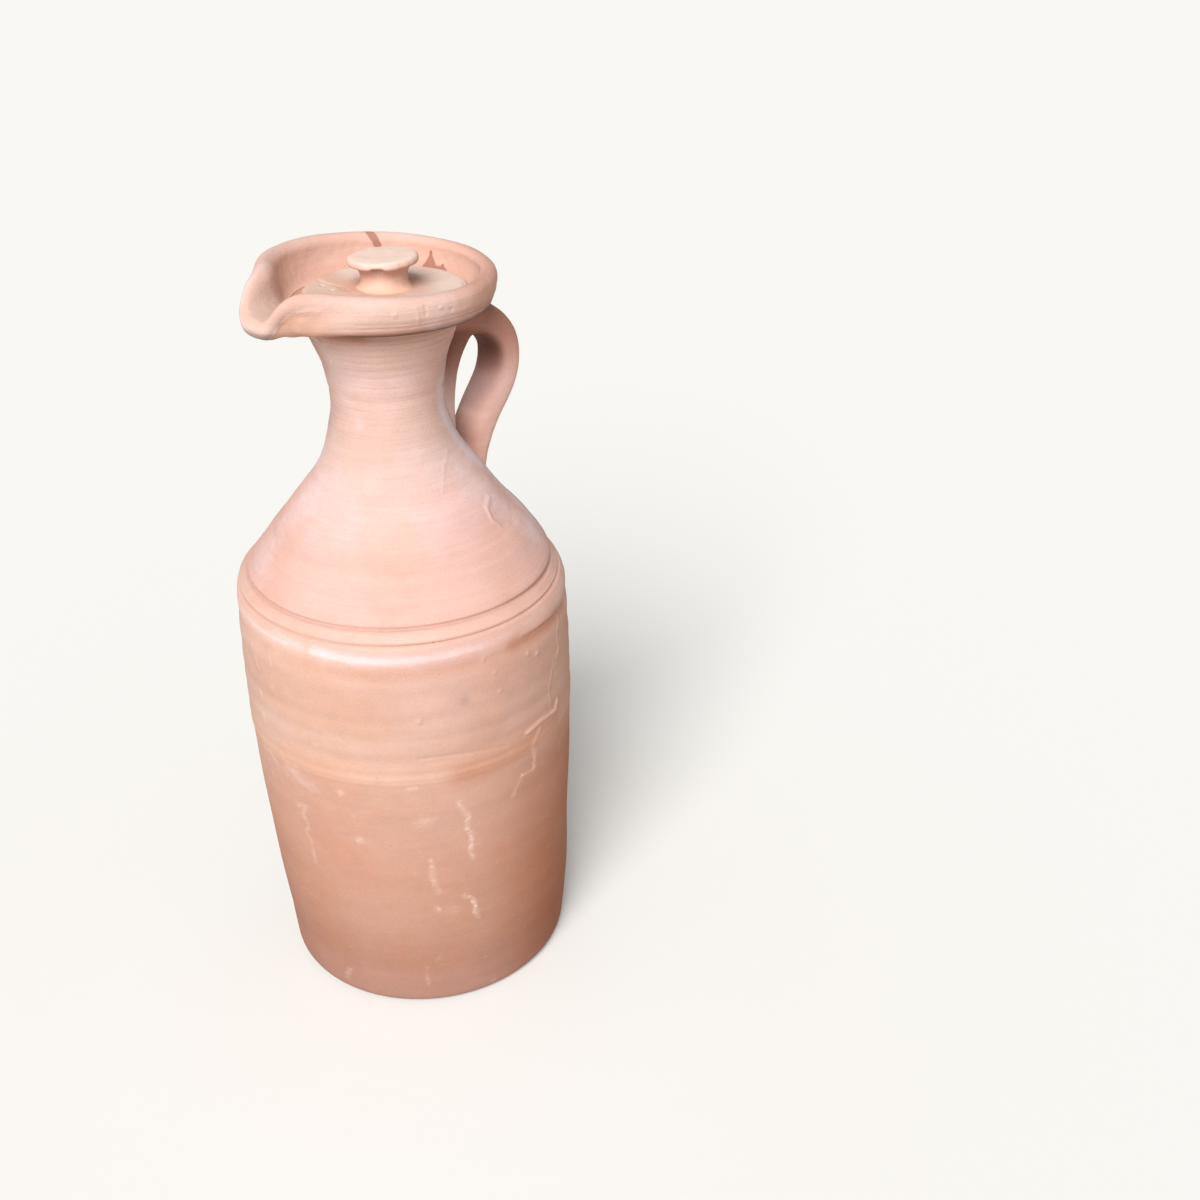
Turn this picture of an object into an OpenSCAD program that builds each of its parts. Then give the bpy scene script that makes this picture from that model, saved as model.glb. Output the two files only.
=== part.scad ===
// Wheel-thrown terracotta water jar: a cylindrical body, a shoulder with a narrow neck, a dish mouth
// pinched into a pouring lip, a strap handle, and a loose lid with a knob.
// The jar stands on z = 0 around the z axis. The lip points along -x and the handle along +x.

/* [Body] */
// Radius of the flat foot
foot_r = 64.5; // [58:0.5:67]
// Radius of the rounded edge round the foot
foot_edge = 5; // [2:0.5:7]
// Radius that pulls the lower half of the wall outwards
low_wall_r = 72.8; // [70:0.2:78]
// Radius that pulls the upper half of the wall outwards
high_wall_r = 78; // [73:0.2:80]
// Radius at the top of the body, at the lower groove
body_top_r = 72.2; // [70:0.2:76]
// Height of the body, from the foot to the lower groove
body_h = 206.7; // [160:0.1:250]
// Thickness of the body's wall
body_wall = 6.6; // [4:0.1:10]
// Thickness of the floor
floor_t = 8; // [5:0.5:14]
// Radius of the inner corner between floor and wall
inner_corner = 9; // [3:0.5:14]

/* [Shoulder and neck] */
// Height of the flat band between the two grooves
band_h = 5.1; // [4:0.1:8]
// How far the band tapers in from its foot to its top
band_taper = 4.6; // [2:0.1:6]
// Depth of both incised grooves
groove_d = 1.1; // [0.5:0.1:1.6]
// Height of both incised grooves
groove_h = 1.6; // [1:0.1:2]
// Height of the shoulder, from the upper groove to the narrowest part of the neck
shoulder_h = 74.2; // [50:0.5:90]
// How far the shoulder keeps its first slope, inwards
shoulder_pull_in = 15.4; // [8:0.5:20]
// How far the shoulder keeps its first slope, upwards
shoulder_pull_up = 22; // [14:0.5:32]
// How far the neck runs straight below its narrowest part
neck_pull = 27; // [12:0.5:32]
// How far the neck runs straight above its narrowest part
flare_pull = 13.3; // [8:0.1:16]
// Outer radius of the neck at its narrowest
neck_r = 23.6; // [20:0.2:30]
// Thickness of the neck's wall
neck_wall = 6; // [4:0.1:8]
// Height of the flare, from the narrowest part of the neck to the crease under the rim
flare_h = 37.9; // [30:0.5:45]
// Outer radius of the flare just under the rim
flare_r = 32; // [30:0.2:36]
// Height of the undercut between the flare and the crease
undercut_h = 5.5; // [4:0.1:8]

/* [Dish rim] */
// Outer radius of the crease under the rim
crease_r = 44.4; // [43.4:0.1:46]
// Outer radius of the rim
rim_r = 47; // [46.4:0.1:52]
// Height of the rim above the crease
rim_h = 15.4; // [13:0.1:22]
// Radius of the rounded lip
lip_r = 3.6; // [2.5:0.1:4]
// Radius of the dish's floor, where the wall stands
dish_r = 37.5; // [37.4:0.1:39]
// Height of the dish's floor above the crease
dish_floor_h = 1.6; // [1:0.1:4]
// Radius of the hole in the dish's floor that the lid plugs
mouth_r = 27.5; // [26:0.1:29]
// Depth of the straight part of that hole
mouth_depth = 7; // [6:0.5:9]

/* [Pouring lip] */
// How far the tip of the lip stands out from the jar's axis
spout_reach = 59.7; // [54:0.1:64]
// Height of the lip's lowest edge above the dish's floor
spout_lift = 3.5; // [1:0.1:6]
// Angle over which the lip's reach fades
reach_spread = 21; // [14:0.5:28]
// Angle from the tip to the lip's lowest point, towards the steep side
drop_turn = 4; // [0:0.5:8]
// Angle over which the steep side climbs
drop_steep = 10.5; // [8:0.5:20]
// Angle over which the long side climbs
drop_long = 17.5; // [10:0.5:26]
// Angle from the tip to the fullest part of the belly under the lip
belly_turn = 12; // [0:0.5:16]
// Angle over which the belly fades on the steep side
belly_steep = 31; // [20:0.5:36]
// Angle over which the belly fades on the long side
belly_long = 18.5; // [14:0.5:30]
// How far the underside of the belly turns back towards the jar
belly_tuck = 75; // [40:1:80]

/* [Handle] */
// Width of the strap at its middle
strap_w = 18; // [12:0.5:24]
// Thickness of the strap over its upper half
strap_t = 13.8; // [8:0.1:14.5]
// Thickness of the strap where it meets the shoulder
strap_end_t = 10.6; // [7:0.1:13]
// How much wider the strap is where it is pressed onto the jar
root_flare = 3; // [0:0.5:8]
// Distance of the strap's outermost point from the jar's axis
handle_reach = 67.2; // [64:0.1:74]
// Depth below the crease where the strap's middle leaves the neck
upper_root_drop = 11; // [10:0.5:15]
// How far the strap runs level from the flare before it bends down
strap_run = 10; // [6:0.5:14]
// Depth below the crease where the upper bend ends
bend_drop = 18; // [16:0.5:24]
// Depth below the crease where the strap stands out most
bulge_drop = 33; // [28:0.5:38]
// How far the strap runs straight down from there
bulge_run = 16.6; // [10:0.1:22]
// Distance from the neck where the strap's middle meets the shoulder
lower_root_out = 15.6; // [12:0.1:20]
// Depth below the crease where the strap's middle meets the shoulder
lower_root_drop = 78; // [70:0.5:80]
// How far the strap's lower root is pulled out
root_pull_out = 4.5; // [0:0.1:8]
// How far the strap's lower root is pulled up
root_pull_up = 23.2; // [16:0.1:28]
// Width of the clay that is smeared down the neck inside the handle
smear_w = 15; // [8:0.5:18]
// Thickness of that clay, with the part that the neck takes up
smear_t = 12; // [10:0.1:13]
// How far the middle of that clay starts out from the flare
smear_out = 11; // [6:0.1:12]
// Depth below the crease where it starts
smear_drop = 12; // [10:0.5:14]

/* [Lid] */
// Radius of the lid
lid_r = 33; // [31:0.1:33.6]
// Thickness of the lid
lid_t = 4.4; // [4:0.1:7]
// Radius of the lid's rounded upper edge
lid_edge = 1.4; // [0.5:0.1:2]
// Outer radius of the ring under the lid
plug_r = 23; // [20:0.1:24]
// Height of the ring under the lid
plug_h = 5; // [3:0.5:6]
// Thickness of the ring under the lid
plug_t = 4.5; // [3:0.5:6]
// How far the lid lies off the jar's axis, towards the handle
lid_off_x = 1.2; // [-2:0.1:2]
// How far the lid lies off the jar's axis, towards the left of the handle
lid_off_y = -3; // [-3.2:0.1:3.2]

/* [Knob] */
// Radius of the knob's head
knob_r = 13.6; // [11:0.1:17]
// Height of the knob
knob_h = 12.6; // [9:0.5:18]
// Thickness of the knob's head at its edge
knob_edge = 2; // [1:0.1:3]
// Radius of the stem at its narrowest
stem_r = 9; // [7:0.1:10.5]
// Radius of the stem's foot on the lid
stem_foot_r = 12.4; // [11:0.1:15]

/* [Fits] */
// Gap between the lid and the jar
lid_gap = 0.3; // [0.2:0.05:1]

/* [Hidden] */
$fn = 128;
clay = [0.80, 0.53, 0.41];
pale_clay = [0.86, 0.64, 0.54];
rim_clay = [0.84, 0.60, 0.49];
dusty_clay = [0.72, 0.60, 0.53];
curve_steps = 16;
wall_steps = 6;
rim_turns = 96;
bar_sides = 20;
// Powers that round the sides and the faces of a flat bar
side_power = 0.6;
face_power = 0.7;
// Power by which a bar widens towards its ends
end_power = 4;
// Power of the curves by which the lip fades into the rim
fade_power = 2.7;
// How far the outer wall of the rim is pulled out and up at the crease, plain and under the lip
rim_pull = [1.6, 3.2];
belly_pull = [3.2, -1.4];
// How far the inner wall of the rim is pulled out over the floor, plain and in the lip
dish_pull = 1;
channel_pull = 3;
// Shares of the flare's height and width that shape its upper half
flare_share = 0.28;
flare_in = 0.5;
// How far the mouth's hole narrows over its depth
mouth_draft = 1;
// Distances of the smeared clay's middle from the neck and its heights from the narrowest part
smear_high = [3.1, 12];
smear_mid = [-0.1, -2];
smear_low = [1.7, -28];
// How far the ring under the lid narrows over its height
plug_draft = 0.5;
// Height over which the stem narrows, and how far it spreads again
stem_pull = 3;
stem_spread = 0.4;
// Width of the slope under the head of the knob
head_slope = 1.2;

neck_z = body_h + band_h + shoulder_h;
crease_z = neck_z + flare_h;
floor_z = crease_z + dish_floor_h;
rim_z = crease_z + rim_h;
spout_z = floor_z + spout_lift;
inner_top_r = body_top_r - body_wall;
throat_r = neck_r - neck_wall;
lid_z = floor_z + lid_gap;
knob_z = lid_z + lid_t;

// Point of a cubic Bezier curve
function bezier(a, b, c, d, t) =
    pow(1 - t, 3) * a + 3 * t * pow(1 - t, 2) * b + 3 * t * t * (1 - t) * c + pow(t, 3) * d;

// Points of a Bezier curve, from its first point to its last
function curve(a, b, c, d, steps = curve_steps) = [for (i = [0:steps]) bezier(a, b, c, d, i / steps)];

// Points of an arc, from one angle to another
function arc(centre, r, from, to, steps = 8) =
    [for (i = [0:steps]) let (a = from + (to - from) * i / steps) centre + r * [cos(a), sin(a)]];

// A list without its first point
function tail(list) = [for (i = [1:len(list) - 1]) list[i]];

// Outer wall of the body, from the foot up to the lower groove
function body_outside() = concat(
    arc([foot_r, foot_edge], foot_edge, -90, 0),
    tail(curve([foot_r + foot_edge, foot_edge],
               [low_wall_r, body_h / 3],
               [high_wall_r, body_h * 2 / 3],
               [body_top_r, body_h - groove_h])),
    [[body_top_r - groove_d, body_h]]);

// Inner wall of the body, from the top down to the floor
function body_inside() = concat(
    curve([inner_top_r, body_h],
          [high_wall_r - body_wall, body_h * 2 / 3],
          [low_wall_r - body_wall, body_h / 3],
          [foot_r + foot_edge - body_wall, floor_t + inner_corner]),
    tail(arc([foot_r + foot_edge - body_wall - inner_corner, floor_t + inner_corner],
             inner_corner, 0, -90)));

// Outer wall of the shoulder and neck, from the lower groove up to the crease
function neck_outside() = concat(
    [[body_top_r - groove_d, body_h],
     [body_top_r - groove_d / 2, body_h + groove_h / 2],
     [body_top_r - band_taper, body_h + band_h - groove_h / 2],
     [body_top_r - band_taper - groove_d, body_h + band_h]],
    curve([body_top_r - band_taper - groove_d / 2, body_h + band_h + groove_h / 2],
          [body_top_r - band_taper - shoulder_pull_in, body_h + band_h + shoulder_pull_up],
          [neck_r, neck_z - neck_pull],
          [neck_r, neck_z]),
    tail(curve([neck_r, neck_z],
               [neck_r, neck_z + flare_pull],
               [(neck_r + flare_r) / 2 - flare_in, crease_z - undercut_h - flare_h * flare_share],
               [flare_r, crease_z - undercut_h])),
    [[crease_r, crease_z]]);

// Inner wall of the shoulder and neck, from the dish's floor down to the lower groove
function neck_inside() = concat(
    [[mouth_r, floor_z]],
    curve([mouth_r - mouth_draft, floor_z - mouth_depth],
          [(throat_r + mouth_r) / 2 - flare_in, crease_z - undercut_h - flare_h * flare_share],
          [throat_r, neck_z + flare_pull],
          [throat_r, neck_z]),
    tail(curve([throat_r, neck_z],
               [throat_r, neck_z - neck_pull],
               [inner_top_r - shoulder_pull_in, body_h + shoulder_pull_up],
               [inner_top_r, body_h])));

module jar_body() {
    color(clay)
        rotate_extrude()
            polygon(concat([[0, 0]], body_outside(), body_inside(), [[0, floor_t]]));
}

module shoulder_neck() {
    color(pale_clay)
        rotate_extrude()
            polygon(concat(neck_outside(), [[dish_r, crease_z], [dish_r, floor_z]], neck_inside()));
}

// Share of the pinch at an angle, which is 1 at angle 0 and fades on both sides
function share(angle, steep, long) = exp(-pow(abs(angle) / (angle > 0 ? steep : long), fade_power));

// Section of the dish's wall as [radius, height], from its foot over the lip to the dish's floor
function wall_section(reach, drop, belly) =
    let (centre = [rim_r + (spout_reach - rim_r) * reach - lip_r, rim_z - (rim_z - spout_z) * drop - lip_r],
         first = -belly_tuck * belly,
         last = 180 - 90 * drop,
         crease = [crease_r, crease_z],
         floor_edge = [dish_r, floor_z],
         from = centre + lip_r * [cos(first), sin(first)],
         to = centre + lip_r * [cos(last), sin(last)],
         outer_pull = norm(from - crease) / 3,
         inner_pull = norm(to - floor_edge) / 2)
    concat([[dish_r, crease_z], crease],
           tail(curve(crease,
                      crease + rim_pull * (1 - belly) + belly_pull * belly,
                      from + outer_pull * [sin(first), -cos(first)],
                      from, wall_steps)),
           tail(arc(centre, lip_r, first, last)),
           tail(curve(to,
                      to + inner_pull * [-sin(last), cos(last)],
                      floor_edge + [dish_pull + channel_pull * drop, 0],
                      floor_edge, wall_steps)));

module pouring_rim() {
    sections = [for (i = [0:rim_turns - 1])
        let (angle = 360 * i / rim_turns - 180)
        wall_section(share(angle, reach_spread, reach_spread),
                     share(angle - drop_turn, drop_steep, drop_long),
                     share(angle - belly_turn, belly_steep, belly_long))];
    count = len(sections[0]);
    points = [for (i = [0:rim_turns - 1])
        let (angle = 360 * i / rim_turns)
        for (p = sections[i])
        [p[0] * cos(angle), p[0] * sin(angle), p[1]]];
    quads = [for (i = [0:rim_turns - 1], j = [0:count - 1])
        let (a = i * count + j,
             b = i * count + (j + 1) % count,
             next = count * (((i + 1) % rim_turns) - i))
        [a, b, b + next, a + next]];
    faces = [for (q = quads)
        each [[q[0], q[1], q[2]], [q[0], q[2], q[3]]]];
    color(rim_clay)
        polyhedron(points = points, faces = faces, convexity = 6);
}

// Middle line of the strap in the plane of the handle, as [radius, height]
strap_line =
    let (far = handle_reach - strap_t / 2,
         top = crease_z - upper_root_drop,
         bulge_z = crease_z - bulge_drop,
         root = [neck_r + lower_root_out, crease_z - lower_root_drop])
    concat(curve([neck_r, top], [flare_r + strap_run, top], [far, crease_z - bend_drop], [far, bulge_z]),
           tail(curve([far, bulge_z], [far, bulge_z - bulge_run], root + [root_pull_out, root_pull_up], root)));

// Middle line of the clay that is smeared down the neck
smear_line = curve([flare_r + smear_out, crease_z - smear_drop],
                   [neck_r, neck_z] + smear_high,
                   [neck_r, neck_z] + smear_mid,
                   [neck_r, neck_z] + smear_low);

// Outline of a flat bar with rounded edges
function bar_section(w, t) = [for (i = [0:bar_sides - 1])
    let (a = 360 * i / bar_sides,
         c = cos(a),
         s = sin(a))
    [w / 2 * sign(c) * pow(abs(c), side_power), t / 2 * sign(s) * pow(abs(s), face_power)]];

// A flat bar along a line in the plane of the handle, wider by flare at its ends.
// Its second half thins from t to end_t.
module bar(line, w, t, end_t, flare) {
    last = len(line) - 1;
    points = [for (i = [0:last])
        let (before = line[max(i - 1, 0)],
             after = line[min(i + 1, last)],
             along = (after - before) / norm(after - before),
             out = [-along[1], along[0]],
             end_share = pow(abs(2 * i / last - 1), end_power),
             thick = t + (end_t - t) * max(2 * i / last - 1, 0))
        for (p = bar_section(w + flare * end_share, thick))
        [line[i][0] + out[0] * p[1], p[0], line[i][1] + out[1] * p[1]]];
    sides = [for (i = [0:last - 1], j = [0:bar_sides - 1])
        let (k = (j + 1) % bar_sides,
             a = i * bar_sides,
             b = a + bar_sides)
        each [[a + j, b + k, a + k], [a + j, b + j, b + k]]];
    first_cap = [for (j = [1:bar_sides - 2]) [0, j, j + 1]];
    end = last * bar_sides;
    last_cap = [for (j = [1:bar_sides - 2]) [end, end + j + 1, end + j]];
    polyhedron(points = points, faces = concat(sides, first_cap, last_cap), convexity = 6);
}

// The strap's roots are cut to the shape of the neck and shoulder that they are pressed onto
module handle() {
    color(pale_clay)
        difference() {
            union() {
                bar(strap_line, strap_w, strap_t, strap_end_t, root_flare);
                bar(smear_line, smear_w, smear_t, smear_t, 0);
            }
            rotate_extrude()
                polygon(concat([[0, body_h]], neck_outside(), [[0, crease_z]]));
        }
}

module lid_disc() {
    color(dusty_clay)
        translate([lid_off_x, lid_off_y, lid_z])
            rotate_extrude()
                polygon(concat(
                    [[0, 0], [plug_r - plug_t, 0], [plug_r - plug_t, -plug_h],
                     [plug_r - plug_draft, -plug_h], [plug_r, 0], [lid_r - lid_edge / 2, 0],
                     [lid_r, lid_edge / 2]],
                    arc([lid_r - lid_edge, lid_t - lid_edge], lid_edge, 0, 90, 4),
                    [[0, lid_t]]));
}

module lid_knob() {
    head_z = knob_h - knob_edge;
    color(dusty_clay)
        translate([lid_off_x, lid_off_y, knob_z])
            rotate_extrude()
                polygon(concat(
                    [[0, 0]],
                    curve([stem_foot_r, 0],
                          [stem_r, stem_pull / 2],
                          [stem_r, stem_pull],
                          [stem_r + stem_spread, head_z / 2]),
                    [[knob_r - head_slope, head_z - head_slope / 2]],
                    arc([knob_r - knob_edge / 2, knob_h - knob_edge / 2], knob_edge / 2, -60, 90),
                    [[0, knob_h]]));
}

jar_body();
shoulder_neck();
pouring_rim();
handle();
lid_disc();
lid_knob();
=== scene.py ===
import math
import bpy
import numpy as np
from mathutils import Matrix, Vector


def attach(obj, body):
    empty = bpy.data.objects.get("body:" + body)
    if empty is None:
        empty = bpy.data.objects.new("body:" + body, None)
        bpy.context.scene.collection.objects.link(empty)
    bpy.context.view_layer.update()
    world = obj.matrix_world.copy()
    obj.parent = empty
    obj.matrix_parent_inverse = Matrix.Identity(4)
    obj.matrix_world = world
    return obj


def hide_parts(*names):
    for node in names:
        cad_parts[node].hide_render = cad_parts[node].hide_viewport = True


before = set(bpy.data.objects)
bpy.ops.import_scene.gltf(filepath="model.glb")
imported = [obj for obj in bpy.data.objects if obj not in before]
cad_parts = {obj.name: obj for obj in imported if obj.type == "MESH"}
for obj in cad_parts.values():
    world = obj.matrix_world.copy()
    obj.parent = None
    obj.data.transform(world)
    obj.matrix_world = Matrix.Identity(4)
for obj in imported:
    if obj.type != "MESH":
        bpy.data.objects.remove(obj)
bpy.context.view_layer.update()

# Main sizes of the jar in mm, within half a millimetre of the CAD nodes'
FOOT_R, FOOT_EDGE = 64.5, 5.0
LOW_WALL_R, HIGH_WALL_R = 72.8, 78
BODY_H, BODY_TOP_R, BODY_WALL, FLOOR_T = 206.7, 72.2, 6.6, 8.0
INNER_FOOT_R, INNER_CORNER = 62.9, 9
LOWER_GROOVE_R, BAND_R, BAND_Z = 71.9, 71.2, 208.0
UPPER_GROOVE_R, UPPER_GROOVE_Z = 67.3, 212.0
NECK_R, NECK_Z, NECK_WALL = 23.6, 286.0, 6.0
FLARE_R, FLARE_Z = 32.0, 318.4
CREASE_R, CREASE_Z = 44.4, 323.9
RIM_R, RIM_Z, LIP_R = 47.25, 339.7, 3.4
DISH_R, DISH_Z, MOUTH_R = 37.5, 325.5, 27.5
SPOUT_REACH, SPOUT_LIFT = 60.0, 3.7
LID_X, LID_Y, LID_Z, LID_R, LID_T = 1.2, -3.0, 325.8, 33.0, 4.4
KNOB_R, KNOB_H, KNOB_Z = 13.9, 12.6, 330.2
MM = 0.001
# Side of the jar that the photograph shows, in degrees, and half the angle it shows
FRONT, FRONT_HALF = -124.0, 100.0
# Steps round the jar there and on the other side
FRONT_STEPS, BACK_STEPS = 384, 128


def lattice(i, j, k, seed):
    """Repeatable value from -1 to 1 for a grid point."""
    n = (i * 73856093) ^ (j * 19349663) ^ (k * 83492791) ^ (seed * 2654435)
    n = ((n ^ (n >> 13)) * 1274126177) & 0x7FFFFFFF
    n = (n ^ (n >> 16)) & 0x7FFFFFFF
    return n / 0x3FFFFFFF - 1.0


def noise(p, size, seed=0):
    """Smooth noise from -1 to 1 at points in mm, for a feature size in mm along each axis."""
    q = p / np.array(size, float)
    low = np.floor(q).astype(np.int64)
    f = q - low
    f = f * f * (3 - 2 * f)
    total = np.zeros(p.shape[:-1])
    for corner in range(8):
        bits = [(corner >> axis) & 1 for axis in range(3)]
        share = np.ones(p.shape[:-1])
        for axis in range(3):
            share = share * (f[..., axis] if bits[axis] else 1 - f[..., axis])
        cell = [low[..., axis] + bits[axis] for axis in range(3)]
        total += share * lattice(*cell, seed)
    return total


def bezier(a, b, c, d, steps):
    t = np.linspace(0, 1, steps + 1)[:, None]
    a, b, c, d = (np.array(p, float) for p in (a, b, c, d))
    return (1 - t) ** 3 * a + 3 * t * (1 - t) ** 2 * b + 3 * t * t * (1 - t) * c + t ** 3 * d


def arc(centre, r, start, end, steps):
    t = np.radians(np.linspace(start, end, steps + 1))
    return np.array(centre, float) + r * np.stack([np.cos(t), np.sin(t)], 1)


def join(*lines):
    """One line of points from several, without double points."""
    points = np.concatenate([np.array(line, float) for line in lines])
    step = np.linalg.norm(np.diff(points, axis=0), axis=1)
    return points[np.concatenate([[True], step > 1e-6])]


def resample(line, step_at):
    """Points along a line, a distance step_at(z) apart."""
    length = np.concatenate([[0], np.cumsum(np.linalg.norm(np.diff(line, axis=0), axis=1))])
    places = [0.0]
    while places[-1] < length[-1]:
        z = np.interp(places[-1], length, line[:, 1])
        places.append(places[-1] + step_at(z))
    places = np.array(places) * length[-1] / places[-1]
    return np.stack([np.interp(places, length, line[:, k]) for k in range(2)], 1)


def front_angles():
    """Azimuths in radians, closer together on the side that the photograph shows."""
    front = np.linspace(FRONT - FRONT_HALF, FRONT + FRONT_HALF, FRONT_STEPS, endpoint=False)
    back = np.linspace(FRONT + FRONT_HALF, FRONT - FRONT_HALF + 360, BACK_STEPS, endpoint=False)
    return np.radians(np.concatenate([front, back]))


def directions(line):
    """Unit direction of a line at each of its points."""
    slope = np.gradient(line, axis=0)
    return slope / np.linalg.norm(slope, axis=1)[:, None]


def turned(line, angles, depth=None):
    """Points of a turned surface, as rings by turns by 3, moved out of the clay by depth."""
    slope = directions(line)
    r = line[:, :1] + np.zeros((1, len(angles)))
    z = line[:, 1:] + np.zeros((1, len(angles)))
    if depth is not None:
        r = r + depth * slope[:, 1:]
        z = z - depth * slope[:, :1]
    return np.stack([r * np.cos(angles), r * np.sin(angles), z], -1)


def hill(x):
    """A smooth hill, 1 at its top and next to nothing beyond 2."""
    return np.exp(-x ** 2)


def even_angles(steps):
    return np.radians(np.linspace(0, 360, steps, endpoint=False))


def rise(value, start, end):
    """0 at start and 1 at end, straight between and level beyond; end may be the lower one."""
    return np.clip((value - start) / (end - start), 0, 1)


def degrees_from(turn, centre):
    """Degrees from a centre to places round the jar, between -180 and 180."""
    return (turn - centre + 180) % 360 - 180


def patches(points, size, seed):
    """Soft random patches from 0 to 1, for the pale bloom."""
    return np.clip(0.5 + 0.9 * noise(points, size, seed), 0, 1)


def placed(name, data):
    """An object in the scene that shows the data."""
    piece = bpy.data.objects.new(name, data)
    bpy.context.scene.collection.objects.link(piece)
    return piece


def mesh_piece(name, points, faces, marks):
    """A smooth object from points in mm, with a value per point for each mark."""
    mesh = bpy.data.meshes.new(name)
    mesh.from_pydata((points * MM).tolist(), [], faces)
    mesh.polygons.foreach_set("use_smooth", [True] * len(mesh.polygons))
    for key, value in marks.items():
        mesh.attributes.new(key, "FLOAT", "POINT").data.foreach_set("value", value)
    mesh.update()
    return placed(name, mesh)


def grid_mesh(name, rings, marks, closed=False, poles=()):
    """A smooth object from rings of points in mm; poles are points that close its ends."""
    count, turns = rings.shape[:2]
    points = rings.reshape(-1, 3)
    i, j = np.meshgrid(np.arange(count if closed else count - 1), np.arange(turns), indexing="ij")
    up = (i + 1) % count
    beside = (j + 1) % turns
    quads = np.stack([i * turns + j, i * turns + beside, up * turns + beside, up * turns + j], -1)
    faces = quads.reshape(-1, 4).tolist()
    values = {key: value.ravel() for key, value in marks.items()}
    for ring, pole in zip((0, count - 1), poles):
        centre = len(points)
        points = np.concatenate([points, [pole]])
        for k in range(turns):
            a, b = ring * turns + k, ring * turns + (k + 1) % turns
            faces.append([centre, b, a] if ring == 0 else [centre, a, b])
        for key, value in marks.items():
            values[key] = np.append(values[key], value[ring].mean())
    return mesh_piece(name, points, faces, values)


def off_segment(x, y, dx, dy):
    """Distance of places from the segment that goes from (0, 0) to (dx, dy)."""
    t = np.clip((x * dx + y * dy) / (dx * dx + dy * dy + 1e-9), 0, 1)
    return np.hypot(x - t * dx, y - t * dy)


def trace(angles, z, r, lines):
    """Strength of listed marks on a turned surface; a mark is (width, strength, [(degrees, z)])."""
    turn = np.degrees(angles) + np.zeros_like(z)
    field = np.zeros_like(z)
    for width, strength, points in lines:
        pairs = list(zip(points, points[1:])) or [(points[0], points[0])]
        near = np.full_like(z, 1e9)
        for (a0, z0), (a1, z1) in pairs:
            x = degrees_from(turn, a0) * r * math.pi / 180
            dx = degrees_from(a1, a0) * r * math.pi / 180
            near = np.minimum(near, off_segment(x, z - z0, dx, z1 - z0))
        field = np.maximum(field, strength * hill(near / width))
    return field


# Outline of the body's skin without its grooves, from the foot to the lower groove
body_line = join(
    [[62, 0], [FOOT_R, 0]],
    arc([FOOT_R, FOOT_EDGE], FOOT_EDGE, -90, 0, 8),
    bezier([FOOT_R + FOOT_EDGE, FOOT_EDGE], [LOW_WALL_R, BODY_H / 3], [HIGH_WALL_R, BODY_H * 2 / 3],
           [BODY_TOP_R, BODY_H - 1.6], 200),
    [[LOWER_GROOVE_R, BODY_H]])
# The same for the band, the shoulder and the neck, up to the crease below the rim
shoulder_line = join(
    [[LOWER_GROOVE_R, BODY_H], [BAND_R, BAND_Z]],
    bezier([BAND_R, BAND_Z], [69.5, 209.7], [68.2, 211.0], [UPPER_GROOVE_R, UPPER_GROOVE_Z], 12),
    bezier([67.05, 212.6], [52.2, 233.8], [NECK_R, 259], [NECK_R, NECK_Z], 200),
    bezier([NECK_R, NECK_Z], [NECK_R, 299.27], [27.3, 307.8], [FLARE_R, FLARE_Z], 80),
    bezier([FLARE_R, FLARE_Z], [33.4, 321.2], [37.6, 323.2], [CREASE_R, CREASE_Z], 24))

# Places of marks that are both coloured and raised, written like those below
CRUST = [(-84.4, 149), (-77, 150.2), (-67.5, 148.7), (-65.6, 152.7)]
NECK_CHIP = [(-172.8, 310), (-176, 305)]
NECK_SCAR = [(-177.8, 315.8), (-174, 314)]
LEFT_SPECK = [(171, 188.6)]
LEFT_RUN = [(173, 183.5), (174.7, 179.4)]
LOW_SPECK = [(-77, 185)]
HIGH_SPECK = [(-82, 188)]
LOW_BUMPS = [(-78, 146), (-82, 140), (-80, 133), (-81, 126), (-87, 127)]

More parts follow.
